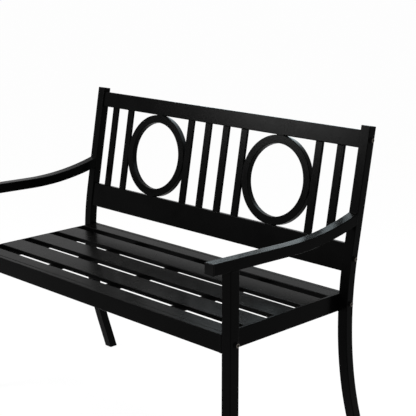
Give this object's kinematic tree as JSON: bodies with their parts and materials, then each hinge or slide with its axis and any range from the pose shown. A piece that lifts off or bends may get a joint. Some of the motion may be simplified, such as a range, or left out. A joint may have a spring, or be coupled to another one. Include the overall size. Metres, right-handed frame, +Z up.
{
  "type": "outdoor bench",
  "caption": "Black steel outdoor bench with a slatted seat, curved armrests, sabre rear legs and a back of upright slats and round rings.",
  "frame": {"origin": "middle of the bench's footprint, on the floor", "axes": "+X along the bench to the right as seen from the front, +Y from the front to the back, +Z up"},
  "size_m": [1.114, 0.6004, 0.8976],
  "materials": {
    "black_coated_steel": "satin black powder coat",
    "black_cap_plastic": "matt black",
    "black_foot_plastic": "matt black",
    "dark_bolt_steel": "blackened steel, worn bright at the edges"
  },
  "bodies": {
    "root": {"rear_post_left": "black_coated_steel", "rear_post_right": "black_coated_steel", "front_post_left": "black_coated_steel", "front_post_right": "black_coated_steel", "armrest_left": "black_coated_steel", "armrest_right": "black_coated_steel", "seat_side_bar_left": "black_coated_steel", "seat_side_bar_right": "black_coated_steel", "seat_front_rail": "black_coated_steel", "seat_rear_rail": "black_coated_steel", "seat_slat_1": "black_coated_steel", "seat_slat_2": "black_coated_steel", "seat_slat_3": "black_coated_steel", "seat_slat_4": "black_coated_steel", "seat_slat_5": "black_coated_steel", "seat_bearer_1": "black_coated_steel", "seat_bearer_2": "black_coated_steel", "seat_bearer_3": "black_coated_steel", "back_top_rail": "black_coated_steel", "back_bottom_rail": "black_coated_steel", "back_slat_1": "black_coated_steel", "back_slat_2": "black_coated_steel", "back_slat_3": "black_coated_steel", "back_slat_4": "black_coated_steel", "back_slat_5": "black_coated_steel", "back_slat_6": "black_coated_steel", "back_slat_7": "black_coated_steel", "back_slat_8": "black_coated_steel", "back_ring_left": "black_coated_steel", "back_ring_right": "black_coated_steel", "rear_post_cap_left": "black_cap_plastic", "rear_post_cap_right": "black_cap_plastic", "armrest_cap_left": "black_cap_plastic", "armrest_cap_right": "black_cap_plastic", "rear_foot_left": "black_foot_plastic", "rear_foot_right": "black_foot_plastic", "front_foot_left": "black_foot_plastic", "front_foot_right": "black_foot_plastic", "back_bolts": "dark_bolt_steel", "seat_bolts": "dark_bolt_steel"}
  },
  "joints": []
}
